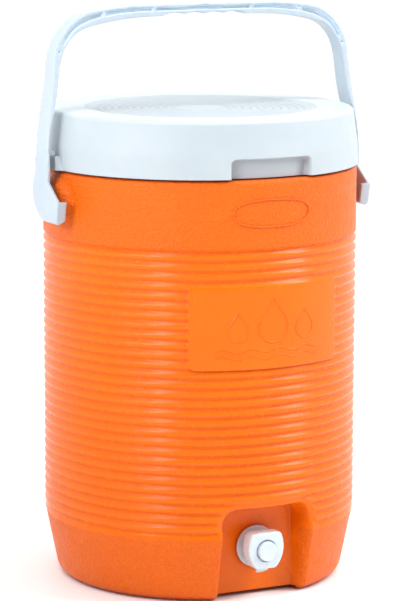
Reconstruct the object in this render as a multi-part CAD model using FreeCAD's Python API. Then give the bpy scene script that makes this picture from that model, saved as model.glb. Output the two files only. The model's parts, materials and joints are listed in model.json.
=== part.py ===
import FreeCAD, Part
import math
import os

# A round, insulated drinks dispenser: a double-walled ribbed tub with a push-button tap, a lift-off lid
# and a swinging bail handle. Millimetres; +Z up, tap on the -Y side, origin at the centre of the base.

V = FreeCAD.Vector
OUT = "parts"
UP = V(0, 0, 1)
SIDE = V(1, 0, 0)

# --- tub ---
BODY_R = 165.0            # crest radius of the ribs and of the smooth bands
WALL = 3.0                # wall of the blow-moulded shell
RIB_PITCH = 10.0
RIB_COUNT = 29
RIB_DEPTH = 2.7
RIBS_BOTTOM = 74.9
SHOULDER_Z = 437.0
SHOULDER_ROUND = 4.0
NECK_R = 150.0            # upstand that the lid skirt drops over
NECK_TOP = 468.0
BASE_R = 149.8            # radius the tapered foot would have at the floor
BASE_ROUND = 15.0
TAPER_TOP_Z = 70.5
TAPER_TOP_R = 164.4
FOOT_INNER_R = 124.0
FOOT_RECESS = 4.6

# --- raised smooth panel and oval on the front ---
PANEL_HALF = 84.0
PANEL_Z = (245.0, 330.0)
PANEL_CORNER = 6.0
OVAL_HALF = 43.5
OVAL_Z = (389.0, 418.0)
OVAL_LINE = 1.6
OVAL_RAISE = 0.7

# --- recess around the tap ---
RECESS_WALL_Y = -127.0
RECESS_BACK_HALF = 42.0
RECESS_MOUTH_HALF = 51.0
RECESS_BACK_TOP = 93.0
RECESS_MOUTH_TOP = 98.0
RECESS_MOUTH_Y = -168.0
RECESS_CORNER = 18.0
RECESS_BORDER = 8.5
RECESS_WALL = 4.5         # thicker than the rest, so that the flared mouth keeps its wall
FLARE_Y = -151.0
FLARE_HALF = 48.6
FLARE_TOP = 96.0
FLARE_SPREAD = 7.0

# --- tank liner ---
LINER_TOP_R = 138.0
LINER_FLOOR_R = 132.0
LINER_WALL = 2.5
LINER_FLOOR_Z = 30.0      # top of the tank floor, below the nut that clamps the tap
LINER_FLAT_Y = -109.5     # tank side of the flat that the tap is clamped to
LINER_FLAT_TOP = 116.0
LINER_RIM = 3.0

# --- lid ---
LID_BOTTOM = 438.5
LID_TOP = 497.0
LID_SKIRT_R = 166.5
LID_SHOULDER_R = 161.0
LID_ROUND = 5.0
LID_WALL = 2.8
RINGS_OUTER_R = 121.5
RINGS_INNER_R = 112.0
RING_PITCH = 8.0
RING_COUNT = 11
RING_STEP = 1.2
RINGS_SINK = 2.0
NOTCH_HALF = 45.5
NOTCH_TOP = 458.5
NOTCH_R = 155.5
LUG_FACE_X = 172.3
LUG_HALF = 13.0
LUG_FLARE = 8.0           # how much wider the foot of the lug is where it meets the skirt
LUG_TOP = 453.0
SEAL_T = 2.0
PAN_T = 2.5
PLUG_R = 134.0
PLUG_BOTTOM = 450.0

# --- handle and its pivots ---
PIVOT_Z = 404.0
PIVOT_R = 6.5
PIVOT_GAP = 0.06          # radial running clearance of the handle on its pins
BOSS_FACE_X = 172.2
BOSS_FACE_R = 23.0
HANDLE_X = 183.4          # outer face of the handle ends
STRAP_T = 3.3
BOOT_INNER_X = 172.9
BOOT_WALL = 3.2
BOOT_RIM_TOP = 409.5
BOOT_ROUND = 4.0
SOLE_Z = 385.8            # lowest edge of the boot, on its outer face
SOLE_RISE = 4.0           # how much higher the sole ends on the inner side
BAR_HALF_Y = 10.5
CHANNEL_DEPTH = 6.5
HUB_R = 10.4
KEEPER_Y = -11.0
KEEPER_Z = 456.5          # small inward pin that sits over the lid lug
KEEPER_R = 2.7
KEEPER_END_X = 172.8
SCALLOP_PITCH = 22.5
SCALLOP_DEPTH = 1.75
SCALLOP_R = 37.0
CROSS_RIBS_X = (57.0, 115.0, 162.9)
CROSS_RIB_T = 2.2

# --- tap ---
TAP_Z = 51.7
FLANGE_R = 22.0
FLANGE_T = 3.0
GASKET_T = 1.0
BARREL_R = 14.5
HEAD_FRONT_Y = -154.5
HEAD_BACK_Y = -139.5
HEAD_HALF = 20.0
HEAD_TOP = 18.5
HEAD_BOTTOM = -19.0
SPOUT_Y = -143.5
SPOUT_TOP_R = 7.4
SPOUT_TIP_R = 5.9
SPOUT_BORE = 4.0
SPOUT_BOTTOM = 25.0
SPOUT_SLANT = 27.0        # degrees by which the mouth of the spout faces forward
BUTTON_R = 10.2
BUTTON_WELL_R = 11.6
BUTTON_FRONT_Y = -158.3      # stands proud of the head and ends flush with it when pressed
BUTTON_LENGTH = 10.9
GUIDE_Y = (-151.5, -147.6)
CHAMBER_R = 10.8
SEAT_Y = (-138.0, -135.5)
PORT_R = 4.6
INLET_R = 7.5
SHANK_R = 11.0
SHANK_END_Y = -94.0
STEM_R = 2.4
HOLE_PLAY = 0.4
NUT_R = 17.5
SPRING_WIRE_R = 0.5
SPRING_COIL_R = 5.4
SPRING_TURNS = 5

# --- filling holes for the foam ---
BASE_HOLE_Y = 70.0
BASE_HOLE_R = 12.0
PLUG_FLANGE_R = 16.0
LID_HOLE_R = 9.0


def edges_to_face(edges):
    return Part.Face(Part.Wire(edges))


def polygon_face(points):
    return Part.Face(Part.makePolygon(points + [points[0]]))


def lathe(profile):
    """Solid of revolution about Z from (radius, z) points; the outline closes itself."""
    points = [V(r, 0, z) for r, z in profile]
    return polygon_face(points).revolve(V(0, 0, 0), UP, 360)


def tube(outer_r, inner_r, z0, z1):
    return lathe([(inner_r, z0), (outer_r, z0), (outer_r, z1), (inner_r, z1)])


def rod_y(r, y0, y1, x=0.0, z=TAP_Z):
    return Part.makeCylinder(r, y1 - y0, V(x, y0, z), V(0, 1, 0))


def ring_y(outer_r, inner_r, y0, y1):
    return rod_y(outer_r, y0, y1).cut(rod_y(inner_r, y0 - 1, y1 + 1))


def rod_x(r, x0, x1, y=0.0, z=PIVOT_Z):
    return Part.makeCylinder(r, x1 - x0, V(x0, y, z), SIDE)


def box(x0, x1, y0, y1, z0, z1):
    return Part.makeBox(x1 - x0, y1 - y0, z1 - z0, V(x0, y0, z0))


def mirrored(shape):
    return shape.mirror(V(0, 0, 0), SIDE)


def spline(points):
    curve = Part.BSplineCurve()
    curve.interpolate(points)
    return curve.toShape()


def arch_wire(y, half, bottom, top, corner):
    """Upright outline at one depth: square at the bottom, rounded at the two top corners."""
    k = corner * (1 - math.sqrt(0.5))
    a, b = V(-half, y, bottom), V(half, y, bottom)
    c, d = V(half, y, top - corner), V(half - corner, y, top)
    e, f = V(-half + corner, y, top), V(-half, y, top - corner)
    right = Part.Arc(c, V(half - k, y, top - k), d).toShape()
    left = Part.Arc(e, V(-half + k, y, top - k), f).toShape()
    lines = [Part.makeLine(a, b), Part.makeLine(b, c), right]
    lines += [Part.makeLine(d, e), left, Part.makeLine(f, a)]
    return Part.Wire(lines)


def rounded_plate(half, z0, z1, corner):
    """Block through the front half of the tub with a rounded-rectangle outline seen from the front."""
    block = box(-half, half, -200, -20, z0, z1)
    upright = [e for e in block.Edges if abs(e.tangentAt(e.FirstParameter).y) > 0.9]
    return block.makeFillet(corner, upright)


# ------------------------------------------------------------------ tub

def foot_edges():
    """Outline from the axis, over the foot ring and the rounded base corner, to the top of the taper."""
    slope = math.atan2(TAPER_TOP_R - BASE_R, TAPER_TOP_Z)
    tangent = BASE_ROUND * math.tan((math.pi / 2 - slope) / 2)
    start = V(BASE_R - tangent, 0, 0)
    end = V(BASE_R + tangent * math.sin(slope), 0, tangent * math.cos(slope))
    centre = start + V(0, 0, BASE_ROUND)
    turn = (math.pi / 2 - slope) / 2
    middle = centre + V(BASE_ROUND * math.sin(turn), 0, -BASE_ROUND * math.cos(turn))
    points = [V(0, 0, FOOT_RECESS), V(FOOT_INNER_R, 0, FOOT_RECESS), V(FOOT_INNER_R + 2, 0, 0), start]
    edges = [Part.makeLine(a, b) for a, b in zip(points, points[1:])]
    edges.append(Part.Arc(start, middle, end).toShape())
    edges.append(Part.makeLine(end, V(TAPER_TOP_R, 0, TAPER_TOP_Z)))
    return edges


def shoulder_edges():
    """Outline from the smooth upper band over the shoulder and up the neck, back to the axis."""
    k = SHOULDER_ROUND * (1 - math.sqrt(0.5))
    a = V(BODY_R, 0, SHOULDER_Z - SHOULDER_ROUND)
    b = V(BODY_R - SHOULDER_ROUND, 0, SHOULDER_Z)
    points = [b, V(NECK_R, 0, SHOULDER_Z), V(NECK_R, 0, NECK_TOP), V(0, 0, NECK_TOP), V(0, 0, FOOT_RECESS)]
    edges = [Part.Arc(a, V(BODY_R - k, 0, SHOULDER_Z - k), b).toShape()]
    return edges + [Part.makeLine(p, q) for p, q in zip(points, points[1:])]


def smooth_tub():
    side = [V(TAPER_TOP_R, 0, TAPER_TOP_Z), V(BODY_R, 0, RIBS_BOTTOM)]
    side.append(V(BODY_R, 0, SHOULDER_Z - SHOULDER_ROUND))
    lines = [Part.makeLine(a, b) for a, b in zip(side, side[1:])]
    return edges_to_face(foot_edges() + lines + shoulder_edges()).revolve(V(0, 0, 0), UP, 360)


def ribbed_tub():
    root = BODY_R - RIB_DEPTH
    top = RIBS_BOTTOM + RIB_COUNT * RIB_PITCH
    side = [Part.makeLine(V(TAPER_TOP_R, 0, TAPER_TOP_Z), V(root, 0, RIBS_BOTTOM))]
    for k in range(RIB_COUNT):
        z = RIBS_BOTTOM + k * RIB_PITCH
        crest = V(BODY_R, 0, z + RIB_PITCH / 2)
        side.append(Part.Arc(V(root, 0, z), crest, V(root, 0, z + RIB_PITCH)).toShape())
    side.append(Part.makeLine(V(root, 0, top), V(BODY_R, 0, top + 3)))
    side.append(Part.makeLine(V(BODY_R, 0, top + 3), V(BODY_R, 0, SHOULDER_Z - SHOULDER_ROUND)))
    return edges_to_face(foot_edges() + side + shoulder_edges()).revolve(V(0, 0, 0), UP, 360)


def recess_block(grow):
    """The space cut in the front for the tap and a cup, made larger all round by grow."""
    back_half, back_top = RECESS_BACK_HALF + grow, RECESS_BACK_TOP + grow
    mouth_half, mouth_top = RECESS_MOUTH_HALF + grow, RECESS_MOUTH_TOP + grow
    back = arch_wire(RECESS_WALL_Y + grow, back_half, -10, back_top, RECESS_CORNER)
    mouth = arch_wire(RECESS_MOUTH_Y, mouth_half, -10, mouth_top, RECESS_CORNER)
    return Part.makeLoft([back, mouth], True, True)


def border_block():
    half = RECESS_MOUTH_HALF + RECESS_BORDER
    wire = arch_wire(-200, half, 20, RECESS_MOUTH_TOP + RECESS_BORDER, RECESS_CORNER + RECESS_BORDER)
    return Part.Face(wire).extrude(V(0, 100, 0))


def pivot_boss():
    """Cone on the side of the tub that the handle turns against."""
    root_x = 158.0
    root_r = BOSS_FACE_R + (BOSS_FACE_X - root_x)
    return Part.makeCone(root_r, BOSS_FACE_R, BOSS_FACE_X - root_x, V(root_x, 0, PIVOT_Z), SIDE)


def oval_ring():
    z_mid = sum(OVAL_Z) / 2
    z_half = (OVAL_Z[1] - OVAL_Z[0]) / 2
    rings = []
    for inset in (0.0, OVAL_LINE):
        flat = Part.Ellipse(V(0, 0, 0), OVAL_HALF - inset, z_half - inset).toShape()
        face = Part.Face(Part.Wire([flat]))
        face.rotate(V(0, 0, 0), SIDE, 90)
        face.translate(V(0, -100, z_mid))
        rings.append(face.extrude(V(0, -80, 0)))
    band = Part.makeCylinder(BODY_R + OVAL_RAISE, 60, V(0, 0, z_mid - 30))
    return rings[0].cut(rings[1]).common(band)


def droplet_relief():
    """Plain raised water drop in the middle of the panel."""
    z_mid = sum(PANEL_Z) / 2
    r, tip = 15.0, 27.0
    angle = math.asin(r / (tip + 4))
    touch = V(r * math.cos(angle), -100, z_mid - 8 + r * math.sin(angle))
    low = V(0, -100, z_mid - 8 - r)
    peak = V(0, -100, z_mid - 8 + tip + 4)
    other = V(-touch.x, -100, touch.z)
    edges = [Part.makeLine(peak, touch), Part.Arc(touch, low, other).toShape(), Part.makeLine(other, peak)]
    block = edges_to_face(edges).extrude(V(0, -80, 0))
    return block.common(Part.makeCylinder(BODY_R + 0.9, 80, V(0, 0, z_mid - 40)))


def shell_cavity():
    inner = BODY_R - RIB_DEPTH - WALL
    neck = NECK_R - WALL
    profile = [(0, FOOT_RECESS + WALL), (BASE_R - BASE_ROUND, FOOT_RECESS + WALL), (BASE_R - 2, 20)]
    profile += [(inner, TAPER_TOP_Z + 3), (inner, SHOULDER_Z - 8), (inner - 4, SHOULDER_Z - WALL)]
    profile += [(neck, SHOULDER_Z - WALL), (neck, NECK_TOP + 5), (0, NECK_TOP + 5)]
    return lathe(profile).cut(recess_block(RECESS_WALL))


def base_hole(r, z0, z1):
    return Part.makeCylinder(r, z1 - z0, V(0, BASE_HOLE_Y, z0))


def sole_step():
    """Lifts the foot ring where it passes under the tap recess."""
    half = RECESS_BACK_HALF + 4
    return box(-half, half, RECESS_WALL_Y - 12, RECESS_WALL_Y + 12, -5, FOOT_RECESS)


def mouth_flare():
    """Widens the recess towards the outside, in place of a sharp rim."""
    wide_half, wide_top = FLARE_HALF + FLARE_SPREAD, FLARE_TOP + FLARE_SPREAD / 2
    inner = arch_wire(FLARE_Y, FLARE_HALF, -10, FLARE_TOP, RECESS_CORNER)
    outer = arch_wire(RECESS_MOUTH_Y, wide_half, -10, wide_top, RECESS_CORNER)
    return Part.makeLoft([inner, outer], True, True)


def outer_shell():
    smooth = smooth_tub()
    pads = rounded_plate(PANEL_HALF, PANEL_Z[0], PANEL_Z[1], PANEL_CORNER).fuse(border_block())
    shape = ribbed_tub().fuse(smooth.common(pads))
    shape = shape.fuse([oval_ring(), droplet_relief(), pivot_boss(), mirrored(pivot_boss())])
    shape = shape.cut([recess_block(0), mouth_flare(), sole_step()]).cut(shell_cavity())
    holes = [rod_y(SHANK_R + HOLE_PLAY, -140, -110), base_hole(BASE_HOLE_R, -1, 10)]
    holes += [rod_x(PIVOT_R, 140, 200), rod_x(PIVOT_R, -200, -140)]
    return shape.cut(holes).removeSplitter()


def liner_solid(grow):
    """Tank shape; grow 0 gives the water side, LINER_WALL the outside."""
    profile = [(0, LINER_FLOOR_Z - grow), (LINER_FLOOR_R - 8 + grow / 2, LINER_FLOOR_Z - grow)]
    profile += [(LINER_FLOOR_R + grow, LINER_FLOOR_Z + 8 - grow / 2), (LINER_TOP_R + grow, NECK_TOP)]
    profile += [(0, NECK_TOP)]
    return lathe(profile).cut(box(-200, 200, -200, LINER_FLAT_Y - grow, 0, LINER_FLAT_TOP + grow))


def inner_liner():
    rim = tube(NECK_R, LINER_TOP_R, NECK_TOP, NECK_TOP + LINER_RIM)
    mouth = Part.makeCylinder(LINER_TOP_R, 10, V(0, 0, NECK_TOP))
    shape = liner_solid(LINER_WALL).fuse(rim).cut(liner_solid(0)).cut(mouth)
    return shape.cut(rod_y(SHANK_R + HOLE_PLAY, -120, -100)).removeSplitter()


def foam_insulation():
    room = shell_cavity().common(Part.makeCylinder(200, NECK_TOP, V(0, 0, 0)))
    shape = room.cut(liner_solid(LINER_WALL))
    holes = [rod_y(SHANK_R + HOLE_PLAY, -130, -100), base_hole(BASE_HOLE_R, 0, 12)]
    holes += [rod_x(PIVOT_R + 1, 140, 165), rod_x(PIVOT_R + 1, -165, -140)]
    return shape.cut(holes).removeSplitter()


def base_fill_plug():
    plug = base_hole(BASE_HOLE_R - 0.1, 1.6, 9.0)
    return plug.fuse(base_hole(PLUG_FLANGE_R, 1.2, FOOT_RECESS))


def pivot_pin():
    """Pin pressed into the boss; the handle hub turns on its free end."""
    pin = rod_x(PIVOT_R, 156.5, HANDLE_X - STRAP_T - 0.6)
    return pin.cut(rod_x(2.0, HANDLE_X - STRAP_T - 6, HANDLE_X))


# ------------------------------------------------------------------ lid

def lid_outline(inset):
    top = LID_TOP - inset
    k = LID_ROUND * (1 - math.sqrt(0.5))
    shoulder = LID_SHOULDER_R - inset
    skirt = LID_SKIRT_R - inset
    start, low = V(0, 0, LID_BOTTOM), V(skirt, 0, LID_BOTTOM)
    a, b = V(shoulder + 0.4, 0, top - LID_ROUND), V(shoulder - LID_ROUND, 0, top)
    middle = V(shoulder - k + 0.2, 0, top - k)
    edges = [Part.makeLine(start, low), Part.makeLine(low, V(skirt - 0.5, 0, LID_BOTTOM + 14))]
    edges += [Part.makeLine(V(skirt - 0.5, 0, LID_BOTTOM + 14), a), Part.Arc(a, middle, b).toShape()]
    edges += [Part.makeLine(b, V(0, 0, top)), Part.makeLine(V(0, 0, top), start)]
    return edges_to_face(edges).revolve(V(0, 0, 0), UP, 360)


def ring_grooves():
    """Sunken field of concentric rings in the top of the lid."""
    cuts = [lathe([(0, LID_TOP - RINGS_SINK), (RINGS_INNER_R, LID_TOP - RINGS_SINK),
                   (RINGS_OUTER_R, LID_TOP + 0.01), (RINGS_OUTER_R, LID_TOP + 5), (0, LID_TOP + 5)])]
    for k in range(RING_COUNT):
        r = RINGS_INNER_R - RING_PITCH * k - 2
        z = LID_TOP - RINGS_SINK
        cuts.append(lathe([(r - 3, z + 1), (r - 3, z), (r - 2, z - RING_STEP),
                           (r, z - RING_STEP), (r + 1, z), (r + 1, z + 1)]))
    return cuts


def notch_block(grow):
    """Finger scoop under the front of the lid skirt."""
    ring = tube(200, NOTCH_R - grow, LID_BOTTOM - 10, NOTCH_TOP + grow)
    return ring.common(rounded_plate(NOTCH_HALF + grow, LID_BOTTOM - 12, NOTCH_TOP + grow, 6.0))


def lid_lug():
    """Block on the side of the skirt that the handle's keeper pin sits over."""
    x_in = LID_SKIRT_R - 4
    plans = []
    for z, foot in ((LID_BOTTOM, LUG_HALF + LUG_FLARE), (LUG_TOP, LUG_HALF - 1)):
        plan = [V(x_in, -foot, z), V(LUG_FACE_X, -LUG_HALF, z), V(LUG_FACE_X, LUG_HALF, z), V(x_in, foot, z)]
        plans.append(Part.makePolygon(plan + [plan[0]]))
    return Part.makeLoft(plans, True, True)


def lid_room():
    """Inside of the lid shell, from the open underside to the skin."""
    under = Part.makeCylinder(200, 30, V(0, 0, LID_BOTTOM - 10)).common(lid_outline(LID_WALL))
    sunk = LID_TOP - RINGS_SINK - RING_STEP - LID_WALL
    field = Part.makeCylinder(RINGS_OUTER_R + 3, 20, V(0, 0, sunk))
    return lid_outline(LID_WALL).fuse(under).cut(field).cut(notch_block(LID_WALL))


def lid_top_shell():
    shape = lid_outline(0).fuse([lid_lug(), mirrored(lid_lug())])
    shape = shape.cut(ring_grooves() + [notch_block(0)]).cut(lid_room())
    return shape.removeSplitter()


def pan_level():
    return NECK_TOP + LINER_RIM + SEAL_T


def pan_solid(grow):
    z = pan_level() + grow
    return lathe([(0, PLUG_BOTTOM + grow), (PLUG_R - 5 - grow, PLUG_BOTTOM + grow),
                  (PLUG_R - grow, PLUG_BOTTOM + 5 + grow / 2), (PLUG_R - grow, z),
                  (170, z), (170, z + 60), (0, z + 60)])


def lid_bottom_pan():
    z = pan_level()
    slab = Part.makeCylinder(200, z + PAN_T - PLUG_BOTTOM, V(0, 0, PLUG_BOTTOM))
    room = lid_outline(LID_WALL + 0.1)
    shape = pan_solid(0).cut(pan_solid(PAN_T)).common(slab).common(room)
    return shape.cut(Part.makeCylinder(LID_HOLE_R, 20, V(0, 0, PLUG_BOTTOM - 5))).removeSplitter()


def lid_foam():
    room = lid_room().common(pan_solid(PAN_T))
    return room.cut(Part.makeCylinder(LID_HOLE_R, 12, V(0, 0, PLUG_BOTTOM))).removeSplitter()


def lid_seal_ring():
    z = NECK_TOP + LINER_RIM
    return tube(148.5, 139.5, z, z + SEAL_T)


def lid_fill_plug():
    stem = Part.makeCylinder(LID_HOLE_R - 0.1, 9, V(0, 0, PLUG_BOTTOM))
    return stem.fuse(Part.makeCylinder(13.0, 1.6, V(0, 0, PLUG_BOTTOM - 1.6)))


# ------------------------------------------------------------------ handle

def bail_band():
    """Bow of the handle seen from the front, extruded deep; the side outline trims it afterwards."""
    outer = [(0, 605.6), (75, 604.6), (117, 601.6), (140.5, 595.8), (161, 578), (170, 560)]
    outer += [(173, 538), (179.3, 493), (HANDLE_X, 450)]
    inner = [(HANDLE_X - STRAP_T, 450), (176, 490), (169.6, 515), (166.5, 538)]
    inner += [(157, 566.4), (143, 579.6), (125, 585.4), (75, 592), (0, 594)]
    outer_right = spline([V(x, -60, z) for x, z in outer])
    inner_right = spline([V(x, -60, z) for x, z in inner])
    foot = [V(HANDLE_X, -60, 450), V(HANDLE_X, -60, 380), V(HANDLE_X - STRAP_T, -60, 380)]
    foot.append(V(HANDLE_X - STRAP_T, -60, 450))
    legs = [Part.makeLine(a, b) for a, b in zip(foot, foot[1:])]
    crown = Part.makeLine(V(0, -60, 594), V(0, -60, 605.6))
    right = edges_to_face([outer_right] + legs + [inner_right, crown]).extrude(V(0, 120, 0))
    return right.fuse(mirrored(right)).removeSplitter()


def side_face(x):
    """Side outline of the handle: slim bar and strap above, wide boot with a forward toe below."""
    left = [(-10.5, 610), (-10.5, 560), (-13, 516), (-18.5, 450), (-18, 427)]
    left += [(-43, BOOT_RIM_TOP), (-38.5, SOLE_Z), (-7, SOLE_Z)]
    right = [(20.7, 416), (12.8, 440), (12.3, 452), (11.2, 516), (10.5, 560), (10.5, 610)]
    points = [V(x, y, z) for y, z in left]
    heel = Part.Arc(points[-1], V(x, 8.4, 394.2), V(x, 20.7, 416)).toShape()
    back = [V(x, y, z) for y, z in right] + [points[0]]
    edges = [Part.makeLine(a, b) for a, b in zip(points, points[1:])] + [heel]
    return edges_to_face(edges + [Part.makeLine(a, b) for a, b in zip(back, back[1:])])


def boot_walls():
    """Rim that turns inward round the toe, sole and heel of the handle end."""
    face = side_face(BOOT_INNER_X)
    inner = face.makeOffset2D(-BOOT_WALL)
    depth = V(HANDLE_X - STRAP_T - BOOT_INNER_X + 0.5, 0, 0)
    walls = face.extrude(depth).cut(inner.extrude(depth))
    return walls.common(box(150, 200, -60, 60, 380, BOOT_RIM_TOP))


def sole_mask():
    """Everything above the slanted sole and inside its rounded outer edge."""
    r = BOOT_ROUND
    k = r * (1 - math.sqrt(0.5))
    inner = V(BOOT_INNER_X, -60, SOLE_Z + SOLE_RISE)
    a, b = V(HANDLE_X - r, -60, SOLE_Z), V(HANDLE_X, -60, SOLE_Z + r)
    corner = Part.Arc(a, V(HANDLE_X - k, -60, SOLE_Z + k), b).toShape()
    points = [b, V(HANDLE_X, -60, 700), V(0, -60, 700), V(0, -60, inner.z), inner, a]
    lines = [Part.makeLine(p, q) for p, q in zip(points, points[1:])]
    right = edges_to_face([corner] + lines).extrude(V(0, 120, 0))
    return right.fuse(mirrored(right))


def channel_cut():
    """Groove in the front face of the bar, tapering to a point in each corner, crossed by thin ribs."""
    y = -BAR_HALF_Y - 2
    top = [(0, 602.8), (75, 601.8), (117, 598.8), (138, 593.4), (153, 582.6), (163, 567.5), (168, 553.5)]
    low = [(168, 553.5), (160.6, 565), (149.5, 580), (131, 590), (108, 595), (75, 597.9), (0, 598.9)]
    edges = [spline([V(x, y, z) for x, z in top]), spline([V(x, y, z) for x, z in low])]
    edges.append(Part.makeLine(V(0, y, 598.9), V(0, y, 602.8)))
    right = edges_to_face(edges).extrude(V(0, CHANNEL_DEPTH + 2, 0))
    for x in CROSS_RIBS_X:
        right = right.cut(box(x - CROSS_RIB_T / 2, x + CROSS_RIB_T / 2, -60, 60, 500, 700))
    return right.fuse(mirrored(right))


def scallops():
    centre_z = 594 + SCALLOP_DEPTH - SCALLOP_R
    places = [SCALLOP_PITCH * (k - 1.5) for k in range(4)]
    return [Part.makeCylinder(SCALLOP_R, 60, V(x, -30, centre_z), V(0, 1, 0)) for x in places]


def handle():
    outline = side_face(-200).extrude(V(400, 0, 0))
    shape = bail_band().common(outline)
    hub = rod_x(HUB_R, BOOT_INNER_X + 0.3, HANDLE_X - 1)
    keeper = rod_x(KEEPER_R, KEEPER_END_X, HANDLE_X - 1, y=KEEPER_Y, z=KEEPER_Z)
    inside = boot_walls().fuse([hub, keeper])
    shape = shape.fuse([inside, mirrored(inside)]).common(sole_mask())
    bore = rod_x(PIVOT_R + PIVOT_GAP, 160, HANDLE_X - STRAP_T)
    return shape.cut([channel_cut(), bore, mirrored(bore)] + scallops()).removeSplitter()


# ------------------------------------------------------------------ tap

def head_face(inset):
    """Shield outline of the tap head: nearly flat top, bulging sides, narrower bottom."""
    half, top, low = HEAD_HALF - inset, TAP_Z + HEAD_TOP - inset, TAP_Z + HEAD_BOTTOM + inset
    y = HEAD_FRONT_Y
    a, b = V(-half + 3.5, y, top), V(half - 3.5, y, top)
    c, d = V(half - 9, y, low), V(-half + 9, y, low)
    lid = Part.Arc(a, V(0, y, top + 0.8), b).toShape()
    right = Part.Arc(b, V(half, y, TAP_Z - 1), c).toShape()
    left = Part.Arc(d, V(-half, y, TAP_Z - 1), a).toShape()
    return edges_to_face([lid, right, Part.makeLine(c, d), left])


def tap_head():
    head = head_face(0).extrude(V(0, HEAD_BACK_Y - HEAD_FRONT_Y, 0))
    corners = [e for e in head.Edges if abs(e.Length - (HEAD_BACK_Y - HEAD_FRONT_Y)) < 0.01]
    head = head.makeFillet(4.0, corners)
    rim = [e for e in head.Edges if abs(e.CenterOfMass.y - HEAD_FRONT_Y) < 0.01]
    return head.makeFillet(2.0, rim)


def spout():
    """Tapered nozzle whose mouth is cut at a slant, so that it faces a little forward."""
    cone = Part.makeCone(SPOUT_TIP_R, SPOUT_TOP_R, TAP_Z - SPOUT_BOTTOM, V(0, SPOUT_Y, SPOUT_BOTTOM))
    tip = V(0, SPOUT_Y + SPOUT_TIP_R, SPOUT_BOTTOM)
    waste = box(-20, 20, -40, 0, -20, 0)
    waste.rotate(V(0, 0, 0), SIDE, -SPOUT_SLANT)
    waste.translate(tip)
    return cone.cut(waste)


def tap_body():
    flange_front = RECESS_WALL_Y - GASKET_T - FLANGE_T
    flange = rod_y(FLANGE_R, flange_front, RECESS_WALL_Y - GASKET_T)
    rim = [e for e in flange.Edges if abs(e.CenterOfMass.y - flange_front) < 0.01]
    flange = flange.makeFillet(1.4, rim)
    shape = flange.fuse([rod_y(BARREL_R, HEAD_BACK_Y - 1, flange_front + 1), tap_head()])
    shape = shape.fuse([spout(), rod_y(SHANK_R, flange_front + 1, SHANK_END_Y)])
    cuts = [rod_y(BUTTON_WELL_R, HEAD_FRONT_Y - 1, GUIDE_Y[1]), rod_y(CHAMBER_R, GUIDE_Y[1] - 1, SEAT_Y[0])]
    cuts += [rod_y(PORT_R, SEAT_Y[0] - 1, SEAT_Y[1] + 1), rod_y(INLET_R, SEAT_Y[1], SHANK_END_Y + 1)]
    cuts.append(Part.makeCylinder(SPOUT_BORE, TAP_Z - SPOUT_BOTTOM + 1, V(0, SPOUT_Y, SPOUT_BOTTOM - 1)))
    return shape.cut(cuts).removeSplitter()


def tap_guide_bush():
    return ring_y(BUTTON_WELL_R - 0.05, BUTTON_R + 0.06, GUIDE_Y[0], GUIDE_Y[1])


def tap_outer_gasket():
    return ring_y(20.0, SHANK_R + 0.1, RECESS_WALL_Y - GASKET_T, RECESS_WALL_Y)


def tap_inner_gasket():
    return ring_y(17.0, SHANK_R + 0.1, LINER_FLAT_Y, LINER_FLAT_Y + GASKET_T)


def tap_lock_nut():
    y0 = LINER_FLAT_Y + GASKET_T
    flange = rod_y(NUT_R, y0, y0 + 2.5)
    turns = [math.radians(60 * k) for k in range(6)]
    corner_r = NUT_R - 0.5
    corners = [V(corner_r * math.cos(t), y0 + 2.5, TAP_Z + corner_r * math.sin(t)) for t in turns]
    hexagon = polygon_face(corners).extrude(V(0, 6.5, 0))
    return flange.fuse(hexagon).cut(rod_y(SHANK_R + 0.08, y0 - 1, y0 + 12)).removeSplitter()


def tap_button():
    back = BUTTON_FRONT_Y + BUTTON_LENGTH
    cap = rod_y(BUTTON_R, BUTTON_FRONT_Y, back)
    rim = [e for e in cap.Edges if abs(e.CenterOfMass.y - BUTTON_FRONT_Y) < 0.01]
    cap = cap.makeFillet(1.0, rim)
    dish = Part.makeSphere(60.0, V(0, BUTTON_FRONT_Y + 0.7 - 60.0, TAP_Z))
    well = ring_y(8.3, 4.2, BUTTON_FRONT_Y + 2.5, back + 1)
    groove = ring_y(BUTTON_R + 1, BUTTON_R - 1.3, back - 2.9, back - 1.3)
    return cap.cut([dish, well, groove, rod_y(STEM_R, back - 4, back + 1)]).removeSplitter()


def tap_button_oring():
    y = BUTTON_FRONT_Y + BUTTON_LENGTH - 2.1
    return Part.makeTorus(BUTTON_R - 0.72, 0.7, V(0, y, TAP_Z), V(0, 1, 0))


def tap_stem():
    start = BUTTON_FRONT_Y + BUTTON_LENGTH - 4
    rod = rod_y(STEM_R, start, SEAT_Y[1] + 2.5)
    return rod.fuse(rod_y(5.0, SEAT_Y[1] + 2.5, SEAT_Y[1] + 4.0)).removeSplitter()


def tap_valve_seal():
    return ring_y(6.8, STEM_R, SEAT_Y[1], SEAT_Y[1] + 2.5)


def tap_return_spring():
    """Coil between the valve seat and the inside of the button; eight flats round the wire."""
    y0 = BUTTON_FRONT_Y + 2.5 + SPRING_WIRE_R + 0.05
    length = SEAT_Y[0] - SPRING_WIRE_R - 0.05 - y0
    helix = Part.makeHelix(length / SPRING_TURNS, length, SPRING_COIL_R)
    turns = [math.radians(45 * k + 22.5) for k in range(8)]
    flats = [V(SPRING_COIL_R + SPRING_WIRE_R * math.cos(t), 0, SPRING_WIRE_R * math.sin(t)) for t in turns]
    section = Part.Wire(Part.makePolygon(flats + [flats[0]]).Edges)
    coil = Part.Wire(helix).makePipeShell([section], True, True)
    coil.rotate(V(0, 0, 0), SIDE, -90)
    coil.translate(V(0, y0, TAP_Z))
    return coil


def write(name, shape):
    shape.exportStep(os.path.join(OUT, name + ".step"))


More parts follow.
